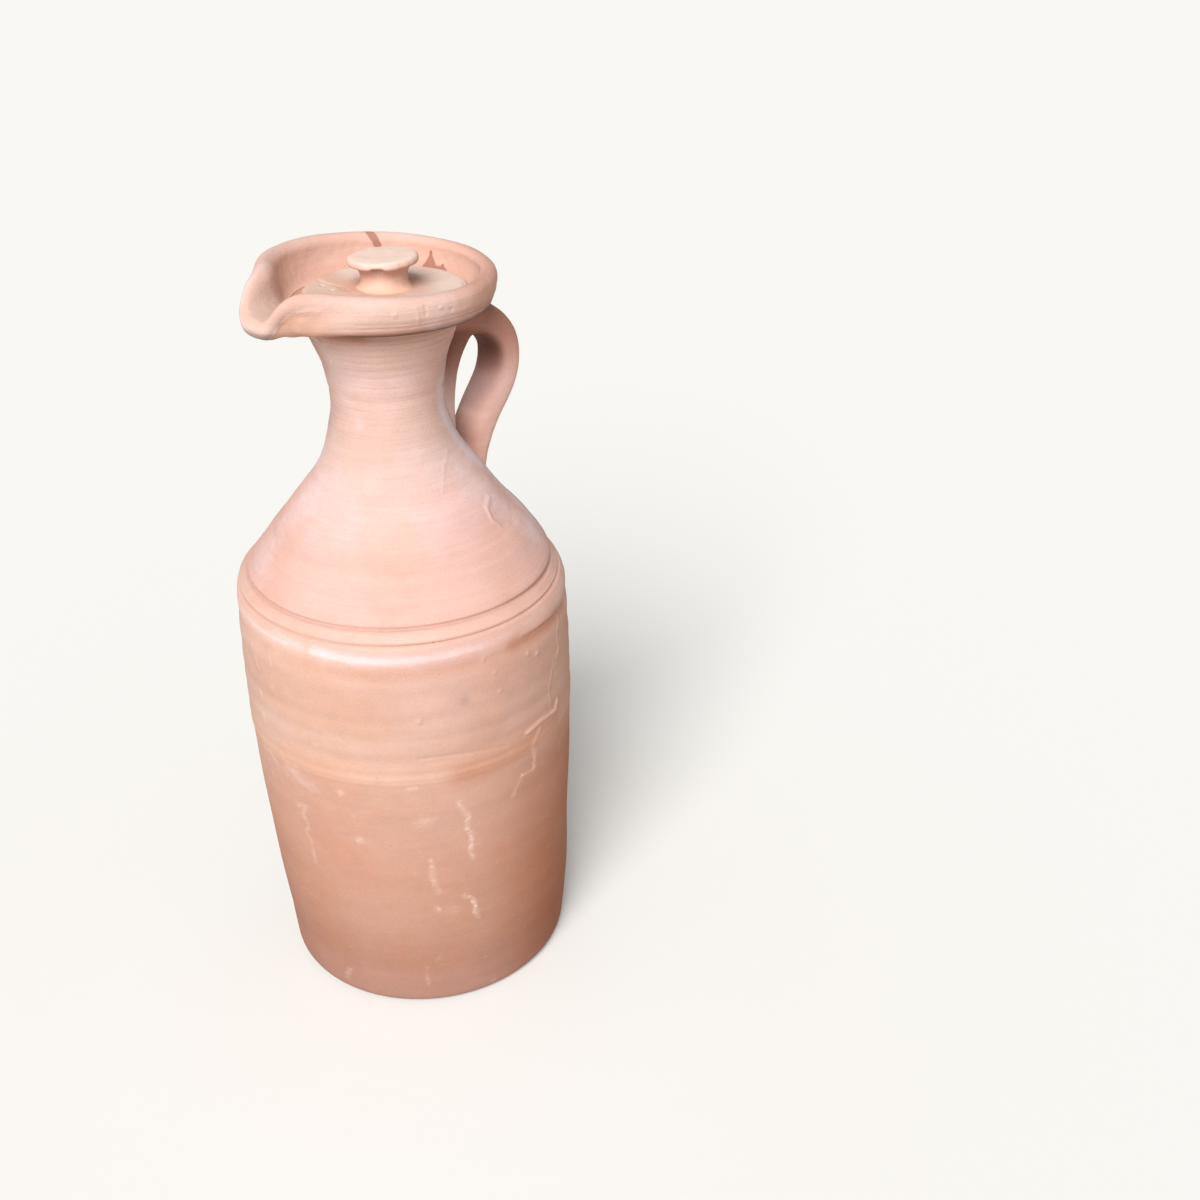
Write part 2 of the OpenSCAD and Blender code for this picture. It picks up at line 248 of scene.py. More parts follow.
# Marks that the photograph shows, as (width in mm, strength, [(azimuth in degrees, height in mm)])
LIME = [
    (1.7, 0.56, [(-172, 115), (-168, 117), (-170, 111), (-168, 105), (-170, 101), (-168, 97), (-168, 84)]),
    (1.8, 0.6, [(169, 135), (175, 136), (179, 133)]), (3.4, 0.38, [(173, 124)]), (2.0, 0.6, [(-176, 140)]),
    (2.3, 0.41, [(-171, 134)]), (2.2, 0.71, [(-152, 132)]), (3.0, 0.68, [(-147, 107)]),
    (1.8, 0.52, [(-148, 120)]), (1.7, 0.71, [(-128, 137), (-126, 137)]), (4.4, 0.52, [(-124, 118)]),
    (1.4, 0.71, [(-123, 95)]),
    (2.1, 0.64, [(-112, 126), (-111, 122), (-109, 117), (-110, 111), (-108, 105), (-109, 96), (-108, 92)]),
    (2.1, 0.6, [(-123, 92), (-123, 84), (-122, 79), (-121, 75)]), (2.5, 0.64, [(-122, 64)]),
    (1.8, 0.64, [(-112, 69), (-109, 67), (-108, 63), (-108, 57), (-107, 53)]), (4.2, 0.38, [(-116, 62)]),
    (1.7, 0.52, [(-123, 31)]), (1.4, 0.45, [(-128, 25), (-128, 12)]), (2.2, 0.52, [(-163, 10), (-161, 16)]),
    (1.4, 0.6, [(-180, 58)]), (1.7, 0.52, [(-177, 191), (-176, 187)]), (2.5, 0.52, [(174, 168), (175, 165)]),
    (1.7, 0.6, [(175, 157), (175, 153)]), (1.2, 0.85, CRUST), (1.2, 0.6, LEFT_SPECK), (1.0, 0.6, LEFT_RUN),
    (1.0, 0.5, [(-176.7, 185.5)]), (1.6, 0.35, [(-176.8, 182), (-177, 175)]), (1.0, 0.5, [(-167, 183.6)]),
    (1.1, 0.6, [(174.6, 160.3)]), (0.9, 0.5, [(-175.3, 172.4)]), (0.9, 0.9, NECK_CHIP),
    (0.8, 0.6, NECK_SCAR), (2.0, 0.68, LOW_BUMPS + [(-88, 123), (-91, 119)]),
    (1.2, 0.45, [(-124, 152), (-119, 152)]), (1.3, 0.45, LOW_SPECK), (1.3, 0.45, HIGH_SPECK)]
SOOT = [(2.7, 0.8, [(-108, 178)]), (6.0, 0.25, [(-104, 164), (-96, 160)])]
# Pale wash under the lower groove, partly painted highlight where the roll there faces the light
WASH_AND_HIGHLIGHT = [
    (2.0, 0.5, [(-172, 203.4), (-160, 202.2)]),
    (2.3, 1.0, [(-157, 201.6), (-143, 200.6), (-131, 200.2), (-120, 200.4)]),
    (2.0, 0.75, [(-118, 200.4), (-109, 200.8), (-101, 201)]),
    (1.7, 0.4, [(-101, 201), (-89, 201.8), (-78, 202.6)]),
    (1.0, 0.7, [(163, 202), (172, 201), (-176, 201), (-168, 201)]),
    (1.8, 0.6, [(20, 200.5), (60, 201), (95, 200)]), (1.2, 0.5, [(-40, 202), (20, 201)])]
PALE = [
    (4.2, 1.4, [(-57, 293), (-56, 284), (-50, 274), (-43, 264), (-36, 254)]),
    (7.0, 0.9, [(-28, 248), (-28, 236), (-32, 224)]),
    (4.6, 0.42, [(-170, 291.5), (-165, 287), (-158.4, 282.7)]),
    (11.0, 0.6, [(-62, 252), (-52, 240), (-46, 226)]), (12.0, 0.5, [(166, 249), (158, 236), (160, 222)]),
    (5.0, 0.5, [(-174, 134), (-164, 131)]),
    (5.0, 0.5, [(40, 262), (75, 250)]), (4.0, 0.6, [(110, 290), (122, 284)])]
# Darker places: the first two are painted shade on the neck under the rim
DARKER = [
    (3.6, 1.0, [(160, 318), (-176, 319), (-156, 320.5), (-140, 321)]), (4.0, 0.5, [(166, 314), (168, 302)]),
    (7.0, 0.65, [(-111, 141), (-92, 141), (-80, 143), (-68, 143)]),
    (4.0, 0.75, [(-88, 196), (-76, 195.4), (-64, 194.6), (-54, 194)]),
    (3.5, 0.25, [(-150, 194.5), (-130, 194), (-104, 195)])]
# Bumps and scratches in the same form, with how far they stand out in mm as their strength
LUMPS = [
    (1.1, 0.9, [(-123, 171)]), (1.1, 0.7, HIGH_SPECK), (1.1, 0.7, LOW_SPECK), (1.0, 0.9, CRUST),
    (0.8, 0.7, NECK_CHIP), (0.8, 0.6, NECK_SCAR), (0.9, 0.5, [(-100, 194.5)]), (0.9, 0.5, [(-96.3, 186.7)]),
    (0.9, 0.5, [(-94.8, 177)]), (0.9, 0.5, LEFT_SPECK), (0.8, 0.5, LEFT_RUN),
    (0.8, 0.3, [(-58, 182), (-61, 178), (-67, 173), (-71, 163), (-70, 151)]),
    (0.9, 0.4, [(174, 151)]), (1.0, 0.4, [(174, 167)]),
    (0.8, 0.5, [(-84, 198.2), (-77, 197.4), (-72, 197.8), (-64, 196.2)]),
    (0.8, -0.5, [(-80, 196.4), (-70, 195.6), (-60, 195.2)]),
    (0.8, 0.4, [(-60, 192), (-63, 186), (-62, 178), (-66, 170)]),
    (0.8, 0.2, [(-71, 266), (-82, 262), (-92, 254)]),
    (0.9, 0.6, [(-59, 244), (-67, 242), (-68, 239)]), (0.9, 0.5, [(-69, 238), (-66, 235)]),
    (0.9, 0.25, LOW_BUMPS + [(-91, 119)])]
SCRATCH = [
    (0.7, -0.4, [(-124, 152), (-113, 152), (-100, 150), (-94, 148)]),
    (0.8, -0.28, [(-122, 150), (-113, 150)]), (0.8, -0.18, [(-112, 144), (-92, 144.5)])]


def back_marks():
    """Lime drips and specks of the same kind on the side that the photograph doesn't show."""
    rng = np.random.default_rng(11)
    marks = []
    for _ in range(30):
        a = rng.uniform(-40, 150)
        z = rng.uniform(12, 196)
        width = rng.uniform(0.9, 2.2)
        points = [(a, z)]
        for _ in range(int(rng.integers(0, 4))):
            points.append((points[-1][0] + rng.uniform(-3, 3), points[-1][1] - rng.uniform(3, 9)))
        marks.append((width, rng.uniform(0.45, 0.8), points))
    return marks


# Soft throwing ridges and hollows of the wall, as (height, half width, how far they stand out)
RIDGES = [
    (203.2, 2.0, 0.1), (200.4, 3.2, 0.25), (194.2, 2.0, -0.2), (187.5, 3.0, 0.12), (181, 3.5, -0.1),
    (174.5, 2.4, 0.1), (169.5, 1.8, -0.09), (164.5, 2.4, 0.12), (159.6, 1.6, -0.08), (155, 2.2, 0.1),
    (150.6, 1.5, -0.08), (145.6, 2.6, 0.2), (140.6, 1.8, 0.25), (128, 6, -0.1), (104, 8, 0.1),
    (80, 7, -0.08), (52, 9, 0.1), (26, 6, -0.12), (220, 6, -0.5), (233, 6, -0.25), (247, 5, 0.22),
    (262, 6, -0.15), (275, 4, 0.15), (296, 4, 0.15), (303, 2.5, -0.15), (309, 2.0, 0.15),
    (316.6, 0.6, -0.32), (313.8, 0.6, -0.3), (311.2, 0.6, -0.26), (308.2, 0.7, -0.22), (301.4, 0.7, -0.2),
    (290.4, 0.7, -0.14)]
RIDGE_STRENGTH, LUMP_STRENGTH = 1.5, 0.8
# Swells on one side of the jar, in the same form, and the side, in degrees
NECK_SWELL = (254, 12, 1.2)
SIDE_SWELLS = [(226, 14, 1.25), (208.3, 4.8, -2.25), (30, 26, 1.7)]
SWELL_SIDE = -34
# Incised grooves, as (height, half width, depth), and the half width of the painted shade along them
GROOVES = [(BODY_H, 0.75, 1.15), (UPPER_GROOVE_Z, 0.7, 1.2)]
GROOVE_SHADE = 0.6
# Small step in the wall: its height, softness and how far it stands out
STEP_Z, STEP_SOFT, STEP_OUT = 137.5, 0.8, 0.17
# The throwing rings aren't level: how far they rise, towards which side, and how much lower they lie
RING_RISE, RING_SIDE, RING_DROP = 3.2, -115, 1.2


def edge_height(angles):
    """How far the throwing rings rise and fall round the jar, in mm."""
    return RING_RISE * np.cos(angles - math.radians(RING_SIDE)) - RING_DROP


def relief(points, angles):
    """How far the skin stands out of its smooth outline, in mm."""
    z = points[..., 2]
    r = np.hypot(points[..., 0], points[..., 1])
    ring = np.stack([np.cos(angles), np.sin(angles)], -1)[None] * 60 + np.zeros(z.shape + (1,))
    around = np.concatenate([ring, z[..., None]], -1)
    wander = edge_height(angles) * rise(z, 60, 120) * rise(z, 200, 170)
    level = z - wander + 0.8 * noise(around, (40, 40, 30), 3)
    out = 0.35 * noise(points, 70, 1) + 0.14 * noise(points, 24, 2)
    side = np.cos(angles - math.radians(SWELL_SIDE))
    at, width, height = NECK_SWELL
    out = out + height * side * hill((z - at) / width)
    for at, width, height in SIDE_SWELLS:
        out = out + height * np.clip(side, 0, 1) ** 2 * hill((z - at) / width)
    for k, (at, width, height) in enumerate(RIDGES):
        share = 0.75 + 0.45 * noise(around, (45, 45, 4000), 20 + k)
        out = out + RIDGE_STRENGTH * height * share * hill((level - at) / width)
    fine = noise(around, (120, 120, 1.3), 5) + 0.6 * noise(around, (90, 90, 2.9), 6)
    out = out + (0.02 + 0.06 * rise(z, 206, 210)) * fine
    for at, width, depth in GROOVES:
        gap = z - at - 0.25 * noise(around, (50, 50, 4000), 9)
        out = out - depth * (0.85 + 0.25 * noise(around, (30, 30, 4000), 10)) * hill(gap / width)
    step_edge = STEP_Z + edge_height(angles)
    out = out + STEP_OUT / (1 + np.exp(-(z - step_edge) / STEP_SOFT)) * (z < 200)
    for width, height, line in LUMPS + SCRATCH:
        out = out + LUMP_STRENGTH * height * trace(angles, z, r, [(width, 1.0, line)])
    return out


# Sides of the body in degrees: with painted shade, with painted shade near the foot, and rosy
SHADED_SIDE, SHADED_FOOT_SIDE, BLUSH_SIDE = -20, 150, -97
# Heights, and how much painted shade darkens the shaded side there
SHADE_HEIGHTS = ((0, 90, 120, 136, 160, 175, 202, 206, 282, 300),
                 (1, 1, 0.9, 0.4, 0.12, 0.15, 0.15, 0, 0, 0.5))
# Heights, and how much of the blush shows there
BLUSH_HEIGHTS = ((140, 150, 202, 206), (0, 1, 1, 0))


def shaded_side(angles, points):
    """Share of painted shade, redder and darker, on the shaded sides of the body."""
    turn = np.degrees(angles)
    away = np.abs(degrees_from(turn, SHADED_SIDE))
    share = np.clip((92 - away + 14 * noise(points, 50, 12)) / 50, 0, 1)
    foot = 0.45 * rise(np.abs(degrees_from(turn, SHADED_FOOT_SIDE)), 60, 0) * rise(points[..., 2], 110, 70)
    return np.maximum(share * share * (3 - 2 * share) * np.interp(points[..., 2], *SHADE_HEIGHTS), foot)


def skin(line, angles):
    """Rings of the outer skin of body and shoulder, with their marks."""
    flat = turned(line, angles)
    depth = relief(flat, angles)
    depth = depth * rise(line[:, 1:], 0, 3) * np.clip((CREASE_Z - line[:, 1:]) / 2.5, 0, 1)
    z = flat[..., 2]
    r = np.hypot(flat[..., 0], flat[..., 1])
    height = z - edge_height(angles) * rise(z, 70, 120) * rise(z, 190, 160)
    blush = np.clip(np.cos(angles - math.radians(BLUSH_SIDE)), 0, 1) ** 3
    marks = {
        "height": height / RIM_Z,
        # Painted shade on the shaded sides, with the darker places
        "darker_and_shade": np.maximum(shaded_side(angles, flat), trace(angles, z, r, DARKER)),
        "blush": blush * np.interp(z, *BLUSH_HEIGHTS),
        # Painted shade along the grooves
        "groove": sum(hill((z - at) / GROOVE_SHADE) for at, _, _ in GROOVES),
        "bloom": patches(flat, (38, 38, 22), 31) * rise(z, 120, 160)}
    for name, lines in (("lime", LIME + back_marks()), ("soot_and_shade", SOOT), ("pale", PALE), ("wash_and_highlight", WASH_AND_HIGHLIGHT)):
        marks[name] = trace(angles, z, r, lines)
    return turned(line, angles, depth), marks


def lined(outer, marks, inner_line, angles):
    """The outer rings with the rings of the inside, and the marks padded to match."""
    inner = turned(inner_line, angles)
    rings = np.concatenate([outer, inner])
    padded = {}
    for key, value in marks.items():
        extra = inner[..., 2] / RIM_Z if key == "height" else np.zeros(inner.shape[:2])
        padded[key] = np.concatenate([value, extra])
    return rings, padded


def make_body():
    angles = front_angles()
    line = resample(body_line, lambda z: 1.5 if z < 120 else 0.72 if z < 200 else 0.36)
    rings, marks = skin(line, angles)
    top = BODY_TOP_R - BODY_WALL
    corner_z = FLOOR_T + INNER_CORNER
    inner = join([[top + 2, BODY_H]],
                 bezier([top, BODY_H], [71, BODY_H * 2 / 3], [66.2, BODY_H / 3],
                        [INNER_FOOT_R, corner_z], 24),
                 arc([INNER_FOOT_R - INNER_CORNER, corner_z], INNER_CORNER, 0, -90, 6),
                 [[30, FLOOR_T], [6, FLOOR_T]])
    rings, marks = lined(rings, marks, inner, angles)
    return grid_mesh("body_wall", rings, marks, poles=([0, 0, 0], [0, 0, FLOOR_T]))


def make_shoulder():
    angles = front_angles()
    line = resample(shoulder_line, lambda z: 0.36 if z < 214 else 0.9 if z < 300 else 0.6)
    rings, marks = skin(line, angles)
    throat = NECK_R - NECK_WALL
    inner = join([[DISH_R, CREASE_Z], [DISH_R, DISH_Z], [33, DISH_Z], [MOUTH_R + 0.4, DISH_Z]],
                 bezier([MOUTH_R, DISH_Z - 0.5], [MOUTH_R - 0.4, 322], [MOUTH_R - 1, 320],
                        [MOUTH_R - 1.2, FLARE_Z + 0.1], 4),
                 bezier([MOUTH_R - 1.2, FLARE_Z + 0.1], [22.1, 307], [throat, 299.3], [throat, NECK_Z], 16),
                 bezier([throat, NECK_Z], [throat, 259], [51.3, 228.7], [65.3, BODY_H], 30))
    rings, marks = lined(rings, marks, inner, angles)
    return grid_mesh("shoulder_and_neck", rings, marks, closed=True)


def pinch(off, centre, near, far, power):
    """Share of the pinch at angles from the lip; near is its reach on the side that the photograph shows."""
    x = off - centre
    return np.exp(-np.abs(x / np.where(x > 0, near, far)) ** power)


def bend(a, b, c, d, steps):
    """Bezier curves side by side: each point is a pair of arrays, one value per azimuth."""
    t = np.linspace(0, 1, steps + 1)[:, None, None]
    a, b, c, d = (np.stack(np.broadcast_arrays(*p), -1)[None] for p in (a, b, c, d))
    return (1 - t) ** 3 * a + 3 * t * (1 - t) ** 2 * b + 3 * t * t * (1 - t) * c + t ** 3 * d


# How far the rim's top leans towards +X and +Y, in mm per mm
RIM_TILT = (0.03, -0.033)
# Turning lines of the rim, written like RIDGES, and its nicks, like LUMPS
RIM_LINES = [
    (327.3, 0.35, -0.45), (328.9, 0.3, -0.25), (330.4, 1.0, 0.1), (334.5, 2.0, 0.1),
    (325.8, 0.35, -0.15)]
RIM_NICKS = [
    (0.9, 0.45, [(-118, 333)]), (0.6, -0.5, [(-104, 335.5), (-103.4, 332)]), (0.6, 0.5, [(-96, 334)]),
    (0.7, -0.4, [(-90, 332)]), (0.5, 0.3, [(-108, 336), (-107, 329)])]
# Old stain over the rim's top, with heights as steps past it, and inside the dish below
TOP_STAIN = [(2.0, 1.0, [(60, -2), (54, 16)])]
DISH_STAIN = [
    (0.8, 1.0, [(21, 334.4), (21, 331)]), (1.3, 1.0, [(21, 332), (23.4, 328.6)]),
    (1.3, 1.0, [(21, 332), (18.2, 328.6)]), (1.6, 1.0, [(24, 328.0), (9.5, 327.8)]),
    (1.0, 1.0, [(11.8, 329.6), (12, 328.2)])]
# Section of the rim: its points on the neck, and its steps up the outside, over the top and down inside
RIM_FOOT = [[35.2, 325.2], [DISH_R, CREASE_Z], [40, CREASE_Z], [42.5, CREASE_Z]]
OUTER_STEPS, LIP_STEPS, INNER_STEPS = 22, 24, 24
RIM_TURNS = 480
RIM_TOP_STEP = len(RIM_FOOT) + OUTER_STEPS
# Share of the outer wall's height where the torn clay ends
TORN_END = 0.93
# What the hand and wear did, and where painted light and painted shade lie in the dish, as (centre, reach near,
# reach far, power), in degrees from the lip
PINCHES = {
    "reach": (1.9, 20.3, 20.2, 2.7), "drop": (3.5, 10.9, 18.4, 2.8), "belly": (11, 31, 19.1, 2.7),
    "low": (70, 55, 55, 2.5), "thick": (-20, 18, 26, 2), "thin": (2, 10, 10, 2), "steep": (4, 17, 18.5, 2.7),
    "pouch": (19, 14, 14, 3), "torn": (10, 24, 22, 5), "tear": (16, 18, 17, 5), "channel_shade": (-2, 30, 34, 3),
    "lit": (-44, 24, 30, 2), "pale": (-8, 20, 22, 2), "soot_and_shade": (-30, 16, 22, 2)}


def rim_section(pinched):
    """Section of the rim at each azimuth, as steps by turns by 2."""
    belly, drop = pinched["belly"], pinched["drop"]
    level = np.zeros(RIM_TURNS)
    round_r = LIP_R + 1.1 * pinched["thick"] - 0.2 * pinched["thin"]
    mid_r = RIM_R + (SPOUT_REACH - RIM_R) * pinched["reach"] - round_r
    mid_z = RIM_Z - 0.9 * pinched["low"] - (RIM_Z - DISH_Z - SPOUT_LIFT) * drop - round_r
    first = np.radians(-75 * pinched["steep"])
    last = np.radians(180 - 90 * drop)
    start_r, start_z = mid_r + round_r * np.cos(first), mid_z + round_r * np.sin(first)
    pull = 0.35 * np.hypot(start_r - CREASE_R, start_z - CREASE_Z)
    outer = bend((CREASE_R, CREASE_Z + level),
                 (CREASE_R + 1.6 + 1.6 * belly, CREASE_Z + 3.2 - 4.6 * belly),
                 (start_r + np.sin(first) * pull, start_z - np.cos(first) * pull),
                 (start_r, start_z), OUTER_STEPS)
    t = np.linspace(0, 1, OUTER_STEPS + 1)[:, None]
    pouch = pinched["pouch"] * (4 * t * (1 - t)) ** 1.2
    outer = outer + np.stack([1.7 * pouch, -1.35 * pouch], -1)
    angle = first + (last - first) * np.linspace(0, 1, LIP_STEPS + 1)[1:, None]
    lip = np.stack([mid_r + round_r * np.cos(angle), mid_z + round_r * np.sin(angle)], -1)
    end_r, end_z = lip[-1, :, 0], lip[-1, :, 1]
    fall = 0.5 * np.hypot(end_r - DISH_R, end_z - DISH_Z)
    inner = bend((end_r, end_z), (end_r - np.sin(last) * fall, end_z + np.cos(last) * fall),
                 (DISH_R + 0.1 + 3 * drop, DISH_Z + 0.12 + level), (DISH_R - 2.3, DISH_Z + 0.12 + level),
                 INNER_STEPS)[1:]
    foot = np.repeat(np.array(RIM_FOOT)[:, None], RIM_TURNS, 1)
    return np.concatenate([foot, outer, lip, inner])


def rim_relief(points, turn, reach, pinched, on_outer, inside, torn, tear):
    """How far the rim's clay stands out of its smooth section, in mm."""
    z = points[..., 2]
    step = np.arange(len(points))[:, None]
    depth = 0.28 * noise(points, 22, 41) + 0.14 * noise(points, 7, 42) + 0.07 * noise(points, 2.6, 43)
    depth = depth + 0.07 * inside * noise(points, 2.2, 47)
    depth = depth + torn * (0.4 * noise(points, 3.2, 48) - 0.3) + 0.2 * tear
    base, end = len(RIM_FOOT), len(points) - 2
    depth = depth * (rise(step, base, base + 3) * rise(step, end, end - 4))
    for at, width, height in RIM_LINES:
        gap = z - at - 0.3 * noise(points * [1, 1, 0], 30, 44)
        depth = depth + height * (1 - pinched["belly"]) * on_outer * hill(gap / width)
    for width, height, line in RIM_NICKS:
        depth = depth + on_outer * height * trace(turn, z, reach, [(width, 1.0, line)])
    return depth


def make_rim():
    turn = even_angles(RIM_TURNS)
    off = np.degrees(turn) - 180
    pinched = {name: pinch(off, *shape) for name, shape in PINCHES.items()}
    section = rim_section(pinched)
    reach, z = section[..., 0], section[..., 1]
    points = np.stack([reach * np.cos(turn), reach * np.sin(turn), z], -1)
    slope = np.gradient(section, axis=0)
    slope /= np.linalg.norm(slope, axis=2)[..., None] + 1e-9
    step = np.arange(len(section))[:, None] + np.zeros(RIM_TURNS)
    base = len(RIM_FOOT)
    up_wall = rise(step, base, RIM_TOP_STEP)
    on_outer = rise(step, base, base + 2) * rise(step, RIM_TOP_STEP + 4, RIM_TOP_STEP)
    inside = np.clip((step - RIM_TOP_STEP - LIP_STEPS * 0.55) / 8, 0, 1)
    well = np.clip((step - RIM_TOP_STEP - LIP_STEPS * 0.58) / 9, 0, 1)
    ragged = 0.08 * noise(points, 7, 46) + 0.05 * noise(points, 2.5, 49)
    torn = pinched["torn"] * np.clip((TORN_END + ragged - up_wall) / 0.05, 0, 1) * on_outer
    tear = hill((up_wall - TORN_END - ragged) / 0.03) * pinched["tear"] * on_outer
    depth = rim_relief(points, turn, reach, pinched, on_outer, inside, torn, tear)
    out = np.stack([slope[..., 1] * np.cos(turn), slope[..., 1] * np.sin(turn), -slope[..., 0]], -1)
    points = points + out * depth[..., None]
    lean = points[..., 0] * RIM_TILT[0] + points[..., 1] * RIM_TILT[1]
    points[..., 2] -= lean * rise(points[..., 2], CREASE_Z, RIM_Z)
    past_top = np.maximum(step - RIM_TOP_STEP - LIP_STEPS * 0.4, -4)
    stain = trace(turn, past_top, np.full_like(z, 40), TOP_STAIN)
    stain = np.maximum(stain, trace(turn, z, np.full_like(z, 39), DISH_STAIN) * inside)
    right = rise(np.abs(degrees_from(np.degrees(turn), -40)), 60, 30)
    marks = {
        "stain": stain,
        "inside": inside,
        "torn": torn,
        "tear": tear,
        "height": (z + 7 * pinched["belly"] * rise(z, 325, 327)) / RIM_Z,
        # Painted shade in the spout's channel and well, and painted light on the well's wall beside it
        "channel_shade": well * pinched["channel_shade"],
        "lit": well * pinched["lit"],
        # Painted shade on the rim's right end
        "darker_and_shade": 0.65 * right * (1 - inside),
        "pale": 0.7 * pinched["pale"] * (1 - inside),
        # Painted shade along the crease under the rim
        "edge": np.clip((0.1 - up_wall) / 0.06, 0, 1) * (step >= base),
        "soot_and_shade": 0.4 * well * pinched["soot_and_shade"],
        "bloom": patches(points, (26, 26, 12), 45)}
    return grid_mesh("dish_rim", points, marks, closed=True)


def neck_radius(z):
    return np.interp(z, shoulder_line[:, 1], shoulder_line[:, 0])


BAR_SIDES = 32
# Sizes of the two bars, as (width, thickness, more width at both ends, more thickness towards the lower end)
STRAP_BAR, SMEAR_BAR = (19.4, 14.8, 3.0, -1.6), (16.5, 12.6, 0.0, 0.0)
# How far out the strap's arch stands, and at what height
ARCH_R, ARCH_Z = 60.3, 290.9
STRAP = join(bezier([24, 313], [42, 313], [ARCH_R, 306], [ARCH_R, ARCH_Z], 60),
             bezier([ARCH_R, ARCH_Z], [ARCH_R, 274.3], [43.7, 269.1], [39.2, 245.9], 60), [[38.4, 242.5]])
SMEAR = bezier([43, 311.9], [26.7, 298], [23.5, 284], [25.3, 258], 50)
# Cell size in mm of the handle's one skin, and how often it is smoothed
SKIN_CELL, SKIN_ROUNDS = 0.8, 16


def bar_points(line, w, t, flare, root):
    """Rings of a flat bar with rounded edges along a line in the plane of the handle."""
    slope = directions(line)
    turn = np.linspace(0, 2 * math.pi, BAR_SIDES, endpoint=False)
    c, s = np.cos(turn), np.sin(turn)
    across = np.sign(c) * np.abs(c) ** 0.7
    through = np.sign(s) * np.abs(s) ** 0.75
    end_share = np.abs(np.linspace(-1, 1, len(line)))[:, None] ** 4
    half_w = (w + flare * end_share) / 2
    half_t = t / 2 + root * np.clip(np.linspace(-1.6, 1, len(line)), 0, 1)[:, None] ** 2
    x = line[:, :1] - slope[:, 1:] * through * half_t
    z = line[:, 1:] + slope[:, :1] * through * half_t
    return np.stack([x, across * half_w, z], -1)[:, ::-1]


def fused(parts):
    """Points and faces of one skin round several closed meshes, with its corners worn round."""
    joined = bpy.data.meshes.new("joined")
    verts, faces = [], []
    for part in parts:
        faces += [[k + len(verts) for k in face.vertices] for face in part.data.polygons]
        verts += [tuple(v.co) for v in part.data.vertices]
        bpy.data.objects.remove(part)
    joined.from_pydata(verts, [], faces)
    holder = placed("joined", joined)
    remesh = holder.modifiers.new("remesh", "REMESH")
    remesh.mode = "VOXEL"
    remesh.voxel_size = SKIN_CELL * MM
    result = holder.evaluated_get(bpy.context.evaluated_depsgraph_get()).to_mesh()
    points = np.array([v.co for v in result.vertices]) / MM
    skins = [list(face.vertices) for face in result.polygons]
    edges = np.array([edge.vertices for edge in result.edges])
    bpy.data.objects.remove(holder)
    bpy.data.meshes.remove(joined)
    number = np.bincount(edges.ravel(), minlength=len(points))[:, None]
    for _ in range(SKIN_ROUNDS):
        near = np.zeros_like(points)
        np.add.at(near, edges[:, 0], points[edges[:, 1]])
        np.add.at(near, edges[:, 1], points[edges[:, 0]])
        points = points + 0.5 * (near / number - points)
    return points, skins


def handle_skin():
    """Points and faces of strap and smeared clay, smoothly joined to the neck, without the neck's own."""
    turn = np.radians(np.linspace(-55, 55, 60))
    heights = np.linspace(232, 321, 90)
    stub = [[[0, 0, z]] + [[r * math.cos(a), r * math.sin(a), z] for a in turn]
            for z, r in zip(heights, neck_radius(heights) - 0.15)]
    parts = []
    for rings in (bar_points(STRAP, *STRAP_BAR), bar_points(SMEAR, *SMEAR_BAR), np.array(stub, float)):
        parts.append(grid_mesh("part", rings, {}, poles=(rings[0].mean(0), rings[-1].mean(0))))
    points, faces = fused(parts)
    shown = np.hypot(points[:, 0], points[:, 1]) > neck_radius(points[:, 2]) - 0.9
    faces = [face for face in faces if shown[face].any()]
    used = np.unique(np.concatenate(faces))
    renumber = np.zeros(len(points), int)
    renumber[used] = np.arange(len(used))
    return points[used], [renumber[face].tolist() for face in faces]


def make_handle():
    points, faces = handle_skin()
    x, y, z = points.T
    flat = points[:, [0, 2]]
    nearest = np.argmin(((flat[:, None] - STRAP[None]) ** 2).sum(-1), axis=1)
    slope = directions(STRAP)
    out = np.stack([-slope[:, 1], slope[:, 0]], 1)[nearest]
    through = ((flat - STRAP[nearest]) * out).sum(1) / 6.5
    free = np.clip((np.hypot(x, y) - neck_radius(z)) / 3, 0, 1)
    # Painted shade on the strap's inner face, in the arch and by its foot at the neck, darkest at the top of
    # the arch
    inner = np.clip((-through - 0.42) / 0.5, 0, 1) * free * rise(z, 266, 292)
    inner = np.maximum(inner, 0.8 * np.clip((0.1 - through) / 0.8, 0, 1) * free * rise(z, 268, 258))
    deep_shade = np.clip((-through - 0.6) / 0.4, 0, 1) * free * rise(z, 283, 295) * rise(x, 41, 47)
    rough = (0.3 * noise(points, 16, 60) + 0.12 * noise(points, 5, 61)) * free
    rough = rough + 0.25 * deep_shade * noise(points, (2.2, 5, 2.2), 63)
    groove = 0.3 * hill((y - 2) / 2.6) * np.clip(through, 0, 1) * free
    middle = np.stack([STRAP[nearest, 0], np.zeros(len(points)), STRAP[nearest, 1]], 1)
    away = points - middle
    away /= np.linalg.norm(away, axis=1)[:, None] + 1e-9
    points = points + away * (rough - groove)[:, None]
    marks = {"inner": inner, "deep_shade": deep_shade, "height": points[:, 2] / RIM_Z, "bloom": patches(points, 18, 62)}
    return mesh_piece("strap_handle", points, faces, marks)


LID_EDGE = 1.4
# Ring below the lid: its radii inside and outside, and its depth
RING_IN, RING_OUT, RING_DEPTH = 18.5, 23, 5
# Crack across the lid and the nicks beside it, in mm from the jar's axis
CRACK = [(-14, 30), (-12.9, 24.2), (-12.6, 18.3), (-11.5, 10.8), (-11.9, 2)]
NICKS = [(-15.1, 16.7), (-15.7, 8.8), (-11.5, 9.8), (-12, 6.6), (-12.3, 3.2), (-13.2, 20.5)]
